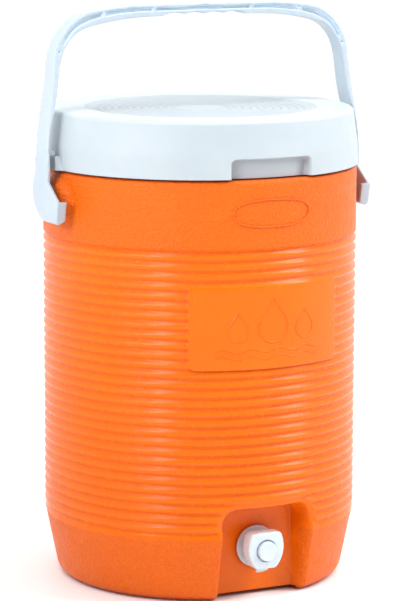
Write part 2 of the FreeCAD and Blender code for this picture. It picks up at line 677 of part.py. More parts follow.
def main():
    os.makedirs("parts", exist_ok=True)
    write("outer_shell", outer_shell())
    write("foam_insulation", foam_insulation())
    write("inner_liner", inner_liner())
    write("base_fill_plug", base_fill_plug())
    write("pivot_pin_right", pivot_pin())
    write("pivot_pin_left", mirrored(pivot_pin()))
    write("lid_top_shell", lid_top_shell())
    write("lid_bottom_pan", lid_bottom_pan())
    write("lid_foam", lid_foam())
    write("lid_seal_ring", lid_seal_ring())
    write("lid_fill_plug", lid_fill_plug())
    write("handle", handle())
    write("tap_body", tap_body())
    write("tap_guide_bush", tap_guide_bush())
    write("tap_outer_gasket", tap_outer_gasket())
    write("tap_inner_gasket", tap_inner_gasket())
    write("tap_lock_nut", tap_lock_nut())
    write("tap_button", tap_button())
    write("tap_button_oring", tap_button_oring())
    write("tap_stem", tap_stem())
    write("tap_valve_seal", tap_valve_seal())
    write("tap_return_spring", tap_return_spring())


main()
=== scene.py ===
import json
import math

import bpy
import numpy as np
from mathutils import Matrix, Vector


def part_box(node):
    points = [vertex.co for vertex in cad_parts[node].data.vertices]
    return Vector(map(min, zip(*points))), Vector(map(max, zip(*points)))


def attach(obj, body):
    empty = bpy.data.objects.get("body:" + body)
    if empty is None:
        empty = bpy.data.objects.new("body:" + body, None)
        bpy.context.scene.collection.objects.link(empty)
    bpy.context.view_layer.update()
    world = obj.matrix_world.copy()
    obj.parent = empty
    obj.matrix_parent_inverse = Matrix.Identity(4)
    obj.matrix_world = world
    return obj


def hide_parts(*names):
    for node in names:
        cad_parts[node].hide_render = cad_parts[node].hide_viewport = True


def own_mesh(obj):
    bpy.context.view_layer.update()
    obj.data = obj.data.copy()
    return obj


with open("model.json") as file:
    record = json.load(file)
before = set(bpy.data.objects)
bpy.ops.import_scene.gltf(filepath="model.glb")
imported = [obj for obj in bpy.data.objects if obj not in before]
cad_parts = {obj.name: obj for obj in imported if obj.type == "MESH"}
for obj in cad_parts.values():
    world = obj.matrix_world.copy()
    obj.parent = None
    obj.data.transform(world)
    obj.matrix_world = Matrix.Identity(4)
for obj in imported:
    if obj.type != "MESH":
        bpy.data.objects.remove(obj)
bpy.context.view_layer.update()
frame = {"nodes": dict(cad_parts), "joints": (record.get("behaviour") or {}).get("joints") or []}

# An insulated drinks dispenser: ribbed orange tub, pale lid, swinging bail handle and push-button tap.
# Metres; +Z up, tap on the -Y side. Angles round the tub start at the tap and grow towards +X.

MM = 0.001
JOINTS = {joint["name"]: joint for joint in frame["joints"]}

# --- tub, read from the frame ---
SHELL_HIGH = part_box("outer_shell")[1]
BODY_R = SHELL_HIGH.y
NECK_TOP = SHELL_HIGH.z
BOSS_FACE_X = SHELL_HIGH.x
PIVOT_Z = JOINTS["handle_swing"]["pos_m"][2]
NECK_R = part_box("inner_liner")[1].x     # the neck is as wide as the tank's rim

# --- tub, outline ---
WALL = 3.0 * MM
SHOULDER_Z = 437.0 * MM
SHOULDER_ROUND = 4.0 * MM
RIB_PITCH = 10.0 * MM
RIB_COUNT = 29
RIB_DEPTH = 2.7 * MM
RIBS_BOTTOM = 74.9 * MM
RIBS_TOP = RIBS_BOTTOM + RIB_COUNT * RIB_PITCH
RIB_SHARES = (0.0, 0.07, 0.20, 0.40, 0.60, 0.80, 0.93)  # heights of the rings up one rib, as shares of it
GROOVE_SHARE = 0.97     # of RIB_DEPTH
CREST_BREADTH = 1.3     # above 1 the crests are broader than the grooves
TAPER_TOP = (164.4 * MM, 70.5 * MM)
BASE_R = 149.8 * MM
BASE_ROUND = 15.0 * MM
FOOT_INNER_R = 124.0 * MM
FOOT_RECESS = 4.6 * MM

# --- front panel and oval ---
PANEL_HALF = 84.0 * MM
PANEL_Z = (245.0 * MM, 330.0 * MM)
PANEL_CORNER = 6.0 * MM
PANEL_RAISE = 0.6 * MM
OVAL_HALF = 43.5 * MM
OVAL_Z = (389.0 * MM, 418.0 * MM)
OVAL_POWER = 0.78       # below 1 the oval is fuller than an ellipse
DROPS = ((0, 1, 46), (-38, -3, 30), (38, -3, 30))   # mm: round end's centre from the panel's middle, height
WAVES = (-23, -30)      # mm from the panel's middle
WAVE_HALF = 61.0 * MM
WAVE_SWELL = 1.8 * MM

# --- tap recess ---
RECESS_Y = -127.0 * MM
RECESS_WALL = 4.5 * MM
MOUTH_HALF = 54.0 * MM
MOUTH_TOP = 101.5 * MM
MOUTH_CORNER = 20.0 * MM
JAMB_WIDTH = 13.0 * MM
LINTEL_WIDTH = 9.0 * MM
BORDER_HALF = 56.0 * MM
BORDER_TOP = 103.0 * MM
BORDER_CORNER = 22.0 * MM
GRAIN_FROM_R, GRAIN_FULL_R = 16 * MM - RECESS_Y, 22 * MM - RECESS_Y     # it fades out into the recess

# --- boss for the handle's pivot ---
BOSS_FACE_R = 23.0 * MM

# --- lid ---
LID_LOW, LID_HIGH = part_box("lid_top_shell")
LID_BOTTOM, LID_TOP = LID_LOW.z, LID_HIGH.z
SKIRT_R = LID_HIGH.y
LID_SHOULDER_R = 161.0 * MM
LID_ROUND = 5.0 * MM
LID_WALL = 2.8 * MM
RINGS_OUTER_R = 121.5 * MM
RINGS_INNER_R = 112.0 * MM
RINGS_SINK = 2.0 * MM
RING_PITCH = 8.0 * MM
RING_COUNT = 11
RING_STEP = 1.2 * MM
FIELD_UNDER = LID_TOP - RINGS_SINK - RING_STEP - LID_WALL      # underside of the ringed field
NOTCH_HALF = 45.5 * MM
NOTCH_TOP = 458.5 * MM
NOTCH_R = 155.5 * MM
LUG_FACE_X = LID_HIGH.x
LUG_TOP = 453.0 * MM
LUG_HALF = 13.0 * MM
LUG_FLARE = 8.0 * MM

# --- colours, linear ---
ORANGE_LOW, ORANGE_HIGH = (0.76, 0.130, 0.001), (0.79, 0.140, 0.001)
ORANGE_GRAIN = (0.64, 0.092, 0.002)
# painted shade: the darker orange put down in grooves and narrow hollows, where shade falls
ORANGE_PAINTED_SHADE = (0.58, 0.066, 0.001)
# paler orange for noisy patches along outward edges
ORANGE_PALE_EDGE = (0.80, 0.17, 0.03)
# painted shade: how much darker the lid's sunken ringed field is coloured
FIELD_PAINTED_SHADE = 0.84
# painted light: pale blue put into the handle's narrow hollows, standing in for light through its thin walls
CHANNEL_PAINTED_GLOW = (0.78, 0.88, 0.97)


# ------------------------------------------------------------------ small tools

def ramp(value, low, high):
    """0 below low, 1 above high, smooth between."""
    t = np.clip((value - low) / (high - low), 0, 1)
    return t * t * (3 - 2 * t)


def soft_max(a, b, width):
    """The larger of the two, with a fillet where they cross."""
    share = np.clip(0.5 + (a - b) / (2 * width), 0, 1)
    return b + (a - b) * share + width * share * (1 - share)


def spread(stops):
    """Values from the first stop to the last; each stop gives its place and the step that follows it."""
    values = [stops[0][0]]
    for (start, step), (end, _) in zip(stops, stops[1:]):
        count = max(1, round((end - start) / step))
        values += [start + (end - start) * (k + 1) / count for k in range(count)]
    return values


def arc(centre, radius, start, end, count):
    """Points (r, z) on an arc; angles in degrees from the outward direction."""
    turns = [math.radians(start + (end - start) * k / count) for k in range(count + 1)]
    return [(centre[0] + radius * math.cos(t), centre[1] + radius * math.sin(t)) for t in turns]


def line(a, b, count):
    """Points from a up to, but not including, b."""
    return [(a[0] + (b[0] - a[0]) * k / count, a[1] + (b[1] - a[1]) * k / count) for k in range(count)]


def ring_angles(half_stops):
    """Angles all the way round from the stops of the right half, the same on both sides."""
    half = spread(half_stops)
    return np.radians([-a for a in reversed(half[1:-1])] + half)


def inside_box(x, z, half, low, high, corner):
    """Distance inside a rounded rectangle seen from the front; negative outside."""
    qx = np.abs(x) - (half - corner)
    qz = np.abs(z - (low + high) / 2) - ((high - low) / 2 - corner)
    outer = np.hypot(np.maximum(qx, 0), np.maximum(qz, 0))
    return corner - outer - np.minimum(np.maximum(qx, qz), 0)


def new_object(name, mesh):
    obj = bpy.data.objects.new(name, mesh)
    bpy.context.scene.collection.objects.link(obj)
    return obj


def shade(mesh, sharp_angle):
    mesh.polygons.foreach_set("use_smooth", [True] * len(mesh.polygons))
    mesh.set_sharp_from_angle(angle=math.radians(sharp_angle))
    mesh.update()


def turned_mesh(name, rows, first, last, sharp_angle=60):
    """Closed skin from rings of points, each end closed by a centre point."""
    count, around = rows.shape[:2]
    points = [tuple(p) for p in rows.reshape(-1, 3)] + [first, last]
    faces = []
    for i in range(count - 1):
        a, b = i * around, (i + 1) * around
        faces += [(a + j, b + j, b + (j + 1) % around, a + (j + 1) % around) for j in range(around)]
    start, end, tail = count * around, count * around + 1, (count - 1) * around
    faces += [(start, j, (j + 1) % around) for j in range(around)]
    faces += [(end, tail + (j + 1) % around, tail + j) for j in range(around)]
    mesh = bpy.data.meshes.new(name)
    mesh.from_pydata(points, [], faces)
    shade(mesh, sharp_angle)
    return new_object(name, mesh)


def settle(piece, body, material):
    """Gives a finished piece its body and its material."""
    piece.data.materials.clear()
    piece.data.materials.append(material)
    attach(piece, body)
    return piece


# ------------------------------------------------------------------ materials

class Nodes:
    """A material's node tree, with one short call per node."""

    def __init__(self, name, roughness=0.5, metallic=0.0, specular=0.5):
        self.material = bpy.data.materials.new(name)
        self.material.use_nodes = True
        self.tree = self.material.node_tree
        self.shader = self.tree.nodes["Principled BSDF"]
        self.shader.inputs["Roughness"].default_value = roughness
        self.shader.inputs["Metallic"].default_value = metallic
        self.shader.inputs["Specular IOR Level"].default_value = specular
        self.place = self.add("ShaderNodeTexCoord").outputs["Object"]

    def add(self, kind, **values):
        node = self.tree.nodes.new(kind)
        for key, value in values.items():
            setattr(node, key, value)
        return node

    def link(self, source, target):
        self.tree.links.new(source, target)

    def noise(self, scale, detail=3.0, stretch=(1, 1, 1)):
        mapping = self.add("ShaderNodeMapping")
        mapping.inputs["Scale"].default_value = stretch
        self.link(self.place, mapping.inputs["Vector"])
        node = self.add("ShaderNodeTexNoise")
        node.inputs["Scale"].default_value = scale
        node.inputs["Detail"].default_value = detail
        self.link(mapping.outputs["Vector"], node.inputs["Vector"])
        return node.outputs["Fac"]

    def pebbles(self, scale):
        """Smooth rounded cells, as in a leather-like moulded grain."""
        node = self.add("ShaderNodeTexVoronoi", feature="SMOOTH_F1")
        node.inputs["Scale"].default_value = scale
        node.inputs["Smoothness"].default_value = 0.6
        self.link(self.place, node.inputs["Vector"])
        return node.outputs["Distance"]

    def map(self, value, low, high, to_low, to_high):
        node = self.add("ShaderNodeMapRange")
        for key, number in zip(("From Min", "From Max", "To Min", "To Max"), (low, high, to_low, to_high)):
            node.inputs[key].default_value = number
        self.link(value, node.inputs["Value"])
        return node.outputs["Result"]

    def math(self, operation, a, b):
        node = self.add("ShaderNodeMath", operation=operation)
        for socket, value in zip(node.inputs, (a, b)):
            if isinstance(value, (int, float)):
                socket.default_value = value
            else:
                self.link(value, socket)
        return node.outputs["Value"]

    def blend(self, share, a, b):
        """Colour between a and b; each is a colour or a socket."""
        node = self.add("ShaderNodeMix", data_type="RGBA")
        self.link(share, node.inputs["Factor"])
        for socket, value in ((node.inputs[6], a), (node.inputs[7], b)):
            if isinstance(value, tuple):
                socket.default_value = (*value, 1)
            else:
                self.link(value, socket)
        return node.outputs[2]

    def height(self):
        """Height above the ground, with the part at rest."""
        axes = self.add("ShaderNodeSeparateXYZ")
        self.link(self.place, axes.inputs["Vector"])
        return axes.outputs["Z"]

    def edges(self, low, high):
        """1 on outward edges, 0 elsewhere."""
        return self.map(self.add("ShaderNodeNewGeometry").outputs["Pointiness"], low, high, 0, 1)

    def colour(self, value):
        self.link(value, self.shader.inputs["Base Color"])

    def radius(self):
        """Distance from the dispenser's upright axis."""
        flat = self.add("ShaderNodeVectorMath", operation="MULTIPLY")
        flat.inputs[1].default_value = (1, 1, 0)
        self.link(self.place, flat.inputs[0])
        length = self.add("ShaderNodeVectorMath", operation="LENGTH")
        self.link(flat.outputs["Vector"], length.inputs[0])
        return length.outputs["Value"]

    def openness(self, distance):
        """1 on open surfaces, falling to 0 down a narrow hollow."""
        node = self.add("ShaderNodeAmbientOcclusion", samples=8)
        node.inputs["Distance"].default_value = distance
        return node.outputs["AO"]

    def rough(self, value):
        self.link(value, self.shader.inputs["Roughness"])

    def bump(self, height, distance, strength=1.0):
        node = self.add("ShaderNodeBump")
        node.inputs["Distance"].default_value = distance
        node.inputs["Strength"].default_value = strength
        self.link(height, node.inputs["Height"])
        self.link(node.outputs["Normal"], self.shader.inputs["Normal"])


def shell_material():
    """Blow-moulded orange plastic: pebble grain on the smooth bands, slightly polished ribs.

    The grain fades out into the tap recess, and shade is painted into the colour down in the grooves and
    narrow hollows."""
    n = Nodes("shell_orange", 0.4, specular=0.22)
    z = n.height()
    band = n.map(z, RIBS_TOP + 1 * MM, RIBS_TOP + 3 * MM, 0, 1)
    foot = n.map(z, TAPER_TOP[1], TAPER_TOP[1] - 3 * MM, 0, 1)
    off_recess = n.map(n.radius(), GRAIN_FROM_R, GRAIN_FULL_R, 0, 1)
    grained = n.math("MAXIMUM", band, n.math("MULTIPLY", foot, off_recess))
    grain = n.pebbles(460)
    clouds = n.blend(n.map(n.noise(18, 4), 0.35, 0.65, 0, 1), ORANGE_LOW, ORANGE_HIGH)
    in_grain = n.math("MULTIPLY", n.map(grain, 0.1, 0.6, 0.0, 0.55), grained)
    tone = n.blend(in_grain, clouds, ORANGE_GRAIN)
    # painted shade: darker colour down in the grooves and narrow hollows, from an occlusion measure
    tone = n.blend(n.map(n.openness(6 * MM), 0.55, 0.92, 0, 1), ORANGE_PAINTED_SHADE, tone)
    # paler in noisy patches along outward edges
    pale_edge = n.math("MULTIPLY", n.edges(0.55, 0.64), n.map(n.noise(140, 4), 0.4, 0.7, 0, 0.35))
    n.colour(n.blend(pale_edge, tone, ORANGE_PALE_EDGE))
    fine = n.math("MULTIPLY", n.noise(2600, 3), 0.25)
    relief = n.math("MULTIPLY", n.math("ADD", grain, fine), n.map(grained, 0, 1, 0.05, 1.0))
    n.bump(relief, 1.0 * MM, 1.0)
    n.rough(n.map(n.math("ADD", n.noise(90, 3), n.math("MULTIPLY", grained, 0.35)), 0.4, 1.0, 0.20, 0.46))
    return n.material


def white_material(name, low, high, grain_scale, grain_depth, roughness, field_r=None, hollow=None):
    """Pale translucent plastic, finely grained and cloudy.

    Within field_r of the axis its colour is darkened as painted shade over the sunken field, and its narrow
    hollows are painted paler in the hollow colour, as painted light."""
    n = Nodes(name, roughness, specular=0.3)
    tone = n.blend(n.map(n.noise(22, 4), 0.35, 0.65, 0, 1), low, high)
    if field_r:
        # painted shade over the sunken ringed field inside field_r
        field_shade = tuple(FIELD_PAINTED_SHADE * c for c in low)
        tone = n.blend(n.map(n.radius(), field_r - 2 * MM, field_r, 0, 1), field_shade, tone)
    if hollow:
        # painted light: narrow hollows turn paler and bluer instead of falling into shade
        tone = n.blend(n.map(n.openness(8 * MM), 0.25, 0.8, 0, 1), hollow, tone)
    n.colour(tone)
    relief = n.math("ADD", n.pebbles(grain_scale), n.math("MULTIPLY", n.noise(grain_scale * 4, 2), 0.3))
    n.bump(relief, grain_depth, 0.5)
    n.rough(n.map(n.noise(150, 3), 0.35, 0.65, roughness - 0.05, roughness + 0.06))
    n.shader.inputs["Subsurface Weight"].default_value = 0.35
    n.shader.inputs["Subsurface Radius"].default_value = (1.0, 1.0, 1.0)
    n.shader.inputs["Subsurface Scale"].default_value = 4 * MM
    return n.material


def foam_material():
    """Rigid foam: cream, open-celled and matt."""
    n = Nodes("foam_cream", 0.9)
    cells = n.pebbles(900)
    n.colour(n.blend(n.map(cells, 0.1, 0.7, 0, 1), (0.62, 0.52, 0.28), (0.80, 0.72, 0.45)))
    n.bump(cells, 0.5 * MM, 0.7)
    return n.material


def rubber_material():
    """Grey moulded rubber with a dusty bloom."""
    n = Nodes("seal_rubber", 0.7)
    dust = n.map(n.noise(260, 4), 0.45, 0.7, 0, 1)
    n.colour(n.blend(dust, (0.16, 0.165, 0.17), (0.26, 0.265, 0.27)))
    n.rough(n.map(dust, 0, 1, 0.62, 0.82))
    n.bump(n.noise(3000, 3), 0.1 * MM, 0.4)
    return n.material


def steel_material(name, colour, scratch_stretch):
    """Drawn steel with fine scratches along its length."""
    n = Nodes(name, 0.3, 1.0)
    scratches = n.noise(900, 3, scratch_stretch)
    darker = tuple(c * 0.75 for c in colour)
    n.colour(n.blend(n.map(scratches, 0.35, 0.65, 0, 1), darker, colour))
    n.rough(n.map(scratches, 0.3, 0.7, 0.22, 0.42))
    n.bump(scratches, 0.05 * MM, 0.4)
    return n.material


def floor_material():
    n = Nodes("studio_floor", 0.6)
    n.colour(n.blend(n.noise(3, 2), (0.90, 0.90, 0.90), (0.92, 0.92, 0.92)))
    return n.material


# ------------------------------------------------------------------ tub

def groove_depth(share):
    """How far the surface lies under the crest, share of the way up one rib: a smooth wave."""
    return GROOVE_SHARE * RIB_DEPTH * (0.5 + 0.5 * math.cos(2 * math.pi * share)) ** CREST_BREADTH


def outer_rows():
    """Rings from the top of the neck down the outside to the base: (radius, height, groove depth)."""
    slope = math.atan2(TAPER_TOP[0] - BASE_R, TAPER_TOP[1])
    tangent = BASE_ROUND * math.tan((math.pi / 2 - slope) / 2)
    knee = (BASE_R + tangent * math.sin(slope), tangent * math.cos(slope))
    path = arc((NECK_R - WALL + 0.6 * MM, NECK_TOP - 0.6 * MM), 0.6 * MM, 180, 90, 2)
    path += arc((NECK_R - 0.8 * MM, NECK_TOP - 0.8 * MM), 0.8 * MM, 90, 0, 3)
    path += line((NECK_R, NECK_TOP - 3 * MM), (NECK_R, SHOULDER_Z + 1.5 * MM), 4)
    path += arc((NECK_R + 1.5 * MM, SHOULDER_Z + 1.5 * MM), 1.5 * MM, 180, 270, 3)
    path += arc((BODY_R - SHOULDER_ROUND, SHOULDER_Z - SHOULDER_ROUND), SHOULDER_ROUND, 90, 0, 6)
    path += line((BODY_R, SHOULDER_Z - SHOULDER_ROUND - 1.5 * MM), (BODY_R, RIBS_TOP + 3 * MM), 31)
    path.append((BODY_R, RIBS_TOP + 3 * MM))
    rows = [(r, z, 0.0) for r, z in path]
    rows += [(BODY_R, RIBS_TOP + 1.5 * MM, 0.35 * RIB_DEPTH)]
    for k in reversed(range(RIB_COUNT)):
        base = RIBS_BOTTOM + k * RIB_PITCH
        if k == RIB_COUNT - 1:
            rows.append((BODY_R, base + RIB_PITCH, groove_depth(1.0)))
        rows += [(BODY_R, base + s * RIB_PITCH, groove_depth(s)) for s in reversed(RIB_SHARES)]
    rows.append(((BODY_R + TAPER_TOP[0]) / 2, (RIBS_BOTTOM + TAPER_TOP[1]) / 2, 0.3 * RIB_DEPTH))
    foot = line(TAPER_TOP, knee, 16)
    round_centre = (knee[0] - BASE_ROUND * math.cos(slope), BASE_ROUND)
    foot += arc(round_centre, BASE_ROUND, -math.degrees(slope), -90, 8)
    foot += [(FOOT_INNER_R + 6 * MM, 0.0), (FOOT_INNER_R + 2 * MM, 0.0), (FOOT_INNER_R + 1 * MM, 2.3 * MM)]
    foot += [(FOOT_INNER_R, FOOT_RECESS), (FOOT_INNER_R - 4 * MM, FOOT_RECESS), (60 * MM, FOOT_RECESS)]
    return rows + [(r, z, 0.0) for r, z in foot]


def with_fine_lintel(rows):
    """Splits the rings that cross the top of the recess, where its wall is steep."""
    finer = []
    for a, b in zip(rows, rows[1:]):
        finer.append(a)
        if MOUTH_TOP - LINTEL_WIDTH - 2 * MM < b[1] < MOUTH_TOP + 1 * MM and a[1] - b[1] > 1 * MM:
            finer.append(tuple((p + q) / 2 for p, q in zip(a, b)))
    return finer + [rows[-1]]


def inner_rows():
    """Rings up the inside of the shell, from the floor to the neck."""
    inner = BODY_R - RIB_DEPTH - WALL
    low = BASE_R - 2 * MM
    floor = FOOT_RECESS + WALL
    path = [(60 * MM, floor), (110 * MM, floor), (BASE_R - BASE_ROUND, floor), (low, 20 * MM)]
    path += [(low + (inner - low) * k / 4, (20 + 53.5 * k / 4) * MM) for k in range(1, 5)]
    path += [(inner, z * MM) for z in (82, 90, 94, 98, 101, 104, 107, 112, 125, 200, 300, 400)]
    path += [(inner, SHOULDER_Z - 8 * MM), (inner - 4 * MM, SHOULDER_Z - WALL)]
    neck_in = NECK_R - WALL
    path += [(neck_in, SHOULDER_Z - WALL), (neck_in, SHOULDER_Z), (neck_in, NECK_TOP - 3 * MM)]
    return path


def rib_share(x, z, front):
    """1 where the ribs stand in full, 0 on the panel and round the recess, with rounded rib ends."""
    off_panel = ramp(-inside_box(x, z, PANEL_HALF, *PANEL_Z, PANEL_CORNER), 0, 1.3 * MM)
    off_border = -inside_box(x, z, BORDER_HALF, -BORDER_TOP, BORDER_TOP, BORDER_CORNER)
    cap = 1 - np.clip(off_border / (4 * MM), 0, 1)
    return np.where(front, off_panel * np.sqrt(1 - cap * cap), 1.0)


def recess_share(x, z, grow):
    """0 outside the mouth of the recess, 1 on its back wall, with a soft lip and a small inner fillet."""
    half, top = MOUTH_HALF + grow, MOUTH_TOP + grow
    depth_in = inside_box(x, z, half, -top, top, MOUTH_CORNER)
    qx = np.maximum(np.abs(x) - (half - MOUTH_CORNER), 0)
    qz = np.maximum(z - (top - MOUTH_CORNER), 0)
    across = qz * qz / np.maximum(qx * qx + qz * qz, 1e-12)
    across = np.where((qx == 0) & (qz == 0), 0, across)
    u = np.clip(depth_in / (JAMB_WIDTH + (LINTEL_WIDTH - JAMB_WIDTH) * across), 0, 1)
    lip, fillet = 0.46, 0.18
    steep = 1 / (1 - lip / 2 - fillet / 2)
    middle = steep * (u - lip / 2)
    start = steep * u * u / (2 * lip)
    end = 1 - steep * (1 - u) ** 2 / (2 * fillet)
    return np.where(u < lip, start, np.where(u > 1 - fillet, end, middle))


def carve_recess(x, y, z, inside):
    """Pushes the front of the skin back to the recess wall."""
    back = RECESS_Y + np.where(inside, RECESS_WALL, 0.0)
    share = np.where(inside, recess_share(x, z, RECESS_WALL), recess_share(x, z, 0.0))
    return y + share * np.maximum(back - y, 0)


def raise_bosses(x, y, z):
    """Pulls the skin out into a cone on each side for the handle's pivot."""
    reach = np.hypot(y, z - PIVOT_Z)
    cone = BOSS_FACE_X - soft_max(reach - BOSS_FACE_R, 0 * reach, 0.8 * MM)
    side = np.sign(x)
    near = (np.abs(x) > 0.8 * BODY_R) & (z > RIBS_TOP)
    return np.where(near, side * soft_max(np.abs(x), np.minimum(cone, BOSS_FACE_X), 1.5 * MM), x)


def make_tub():
    """The orange shell as one closed skin, from its inner floor up over the neck and down to the base."""
    angles = ring_angles([(0, 0.9), (13, 0.33), (22, 0.85), (29.6, 0.35), (32, 2.2), (76, 0.75),
                          (104, 2.8), (180, 0)])
    outer = with_fine_lintel(outer_rows())
    inner = [(r, z, 0.0) for r, z in inner_rows()]
    r, z, groove = (np.array(v)[:, None] for v in zip(*(inner + outer)))
    inside = (np.arange(len(r)) < len(inner))[:, None]
    front = np.cos(angles)[None, :] > 0
    across = BODY_R * np.sin(angles)[None, :]
    ribs = rib_share(across, z, front)
    on_border = front & (inside_box(across, z, BORDER_HALF + 4 * MM, -BORDER_TOP - 4 * MM,
                                    BORDER_TOP + 4 * MM, BORDER_CORNER) > 0)
    sunk = RIB_DEPTH * (1 - ribs) * ramp(z, TAPER_TOP[1], TAPER_TOP[1] + 10 * MM) * on_border
    on_panel = ramp(inside_box(across, z, PANEL_HALF, *PANEL_Z, PANEL_CORNER), -0.8 * MM, 0.8 * MM) * front
    radius = r - groove * ribs - sunk * ~inside + PANEL_RAISE * on_panel * ~inside
    x, y = radius * np.sin(angles), -radius * np.cos(angles)
    z = z + 0 * x
    y = carve_recess(x, y, z, inside)
    lift = FOOT_RECESS * (1 - ramp(np.abs(x), 44 * MM, 51 * MM)) * (y < -100 * MM)
    z = np.where(inside, z, np.maximum(z, lift))
    x = np.where(inside, x, raise_bosses(x, y, z))
    rows = np.stack([x, y, z], axis=2)
    tub = turned_mesh("tub_shell", rows, (0, 0, FOOT_RECESS + WALL), (0, 0, FOOT_RECESS), 70)
    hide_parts("outer_shell")
    return tub


def raised_line(name, points, width, height, closed):
    """A low half-round bead along a path of (x, z) points on the front of the tub."""
    path = np.array(points)
    ahead = np.roll(path, -1, axis=0) - np.roll(path, 1, axis=0)
    if not closed:
        ahead[0], ahead[-1] = path[1] - path[0], path[-1] - path[-2]
    ahead /= np.linalg.norm(ahead, axis=1)[:, None]
    across = np.stack([-ahead[:, 1], ahead[:, 0]], axis=1)
    turns = np.radians(np.linspace(180, 0, 7))
    points, faces = [], []
    for p, n in zip(path, across):
        for t in turns:
            x, z = p + n * width / 2 * math.cos(t)
            r = BODY_R - 0.4 * MM + (height + 0.4 * MM) * math.sin(t)
            points.append((x, -math.sqrt(r * r - x * x), z))
    count, wide = len(path), len(turns)
    for i in range(count if closed else count - 1):
        a, b = i * wide, (i + 1) % count * wide
        faces += [(a + j, a + j + 1, b + j + 1, b + j) for j in range(wide - 1)]
        faces.append((a + wide - 1, a, b, b + wide - 1))
    if not closed:
        faces += [tuple(range(wide)), tuple(reversed(range((count - 1) * wide, count * wide)))]
    mesh = bpy.data.meshes.new(name)
    mesh.from_pydata([tuple(p) for p in points], [], faces)
    shade(mesh, 60)
    return new_object(name, mesh)


def oval_points():
    """Blunt oval, a little fuller at its ends than an ellipse."""
    half_z = (OVAL_Z[1] - OVAL_Z[0]) / 2
    middle = (OVAL_Z[1] + OVAL_Z[0]) / 2
    inset = 0.8 * MM
    points = []
    for k in range(96):
        t = 2 * math.pi * k / 96
        c, s = math.cos(t), math.sin(t)
        x = math.copysign(abs(c) ** OVAL_POWER, c) * (OVAL_HALF - inset)
        points.append((x, middle + math.copysign(abs(s) ** OVAL_POWER, s) * (half_z - inset)))
    return points


def drop_points(x, z, size):
    """Outline of a water drop of that height standing on its round end."""
    r = 0.36 * size
    reach = size - r
    touch = math.acos(r / reach)
    turns = np.linspace(math.pi / 2 + touch, 5 * math.pi / 2 - touch, 40)
    points = [(x + r * math.cos(t), z + r * math.sin(t)) for t in turns]
    tip = (x, z + reach)
    points += [tuple(np.array(points[-1]) * (1 - k / 6) + np.array(tip) * k / 6) for k in range(1, 7)]
    points += [tuple(np.array(tip) * (1 - k / 6) + np.array(points[0]) * k / 6) for k in range(1, 6)]
    return points


def wave_points(z, half, swell):
    """Four full waves from side to side."""
    xs = np.linspace(-half, half, 90)
    return [(x, z + swell * math.sin(x / half * 4 * math.pi)) for x in xs]


def make_front_relief():
    """Blank oval near the top and, on the panel, plain water drops over two waves."""
    pieces = [raised_line("oval_outline", oval_points(), 2.2 * MM, 1.2 * MM, True)]
    middle = sum(PANEL_Z) / 2
    for k, (x, z, size) in enumerate(DROPS):
        outline = drop_points(x * MM, middle + z * MM, size * MM)
        pieces.append(raised_line(f"drop_outline_{k}", outline, 2.2 * MM, 1.3 * MM, True))
    for k, z in enumerate(WAVES):
        wave = wave_points(middle + z * MM, WAVE_HALF, WAVE_SWELL)
        pieces.append(raised_line(f"wave_line_{k}", wave, 2.0 * MM, 1.2 * MM, False))
    return pieces


# ------------------------------------------------------------------ lid

def lid_rows():
    """Rings from the underside of the top, down inside the skirt, up outside and over the rings."""
    skirt_in = SKIRT_R - LID_WALL
    ceiling = LID_TOP - LID_WALL
    path = [(40 * MM, FIELD_UNDER), (RINGS_OUTER_R + 3 * MM, FIELD_UNDER), (RINGS_OUTER_R + 3 * MM, ceiling)]
    path += [(150 * MM, ceiling), (LID_SHOULDER_R - LID_WALL - 1 * MM, ceiling - 2 * MM)]
    path += line((LID_SHOULDER_R - LID_WALL, LID_TOP - 10 * MM), (skirt_in, LID_BOTTOM + 0.8 * MM), 24)
    path += arc((skirt_in + 0.8 * MM, LID_BOTTOM + 0.8 * MM), 0.8 * MM, 180, 270, 3)
    path += arc((SKIRT_R - 0.8 * MM, LID_BOTTOM + 0.8 * MM), 0.8 * MM, -90, 0, 3)
    low_band = (SKIRT_R - 0.5 * MM, LID_BOTTOM + 14 * MM)
    path += line((SKIRT_R - 0.03 * MM, LID_BOTTOM + 2 * MM), low_band, 10)
    path += line(low_band, (SKIRT_R - 0.8 * MM, NOTCH_TOP + 2 * MM), 14)
    shoulder = (LID_SHOULDER_R + 0.4 * MM, LID_TOP - LID_ROUND)
    path += line((SKIRT_R - 0.8 * MM, NOTCH_TOP + 2 * MM), shoulder, 10)
    path += arc((shoulder[0] - LID_ROUND, shoulder[1]), LID_ROUND, 0, 90, 8)
    path += line((LID_SHOULDER_R - LID_ROUND - 2 * MM, LID_TOP), (RINGS_OUTER_R + 1 * MM, LID_TOP), 6)
    outer_groove = ((1.0, 0.0), (0.5, 0.3), (0.1, 1.2), (-0.3, 1.2), (-0.7, 0.5), (-1.4, 0.35))
    path += [(RINGS_OUTER_R + offset * MM, LID_TOP - drop * MM) for offset, drop in outer_groove]
    floor = LID_TOP - RINGS_SINK
    path += [(RINGS_INNER_R + 1 * MM, floor + 0.2 * MM), (RINGS_INNER_R, floor)]
    ring = ((1.4, 0), (1.0, 0.1), (0.2, 0.92), (-0.2, 1), (-1.8, 1), (-2.2, 0.92), (-2.9, 0.1), (-3.3, 0))
    for k in range(RING_COUNT):
        r = RINGS_INNER_R - RING_PITCH * k - 2 * MM
        path += [(r + offset * MM, floor - drop * RING_STEP) for offset, drop in ring]
    return path + [(20 * MM, floor), (8 * MM, floor)]


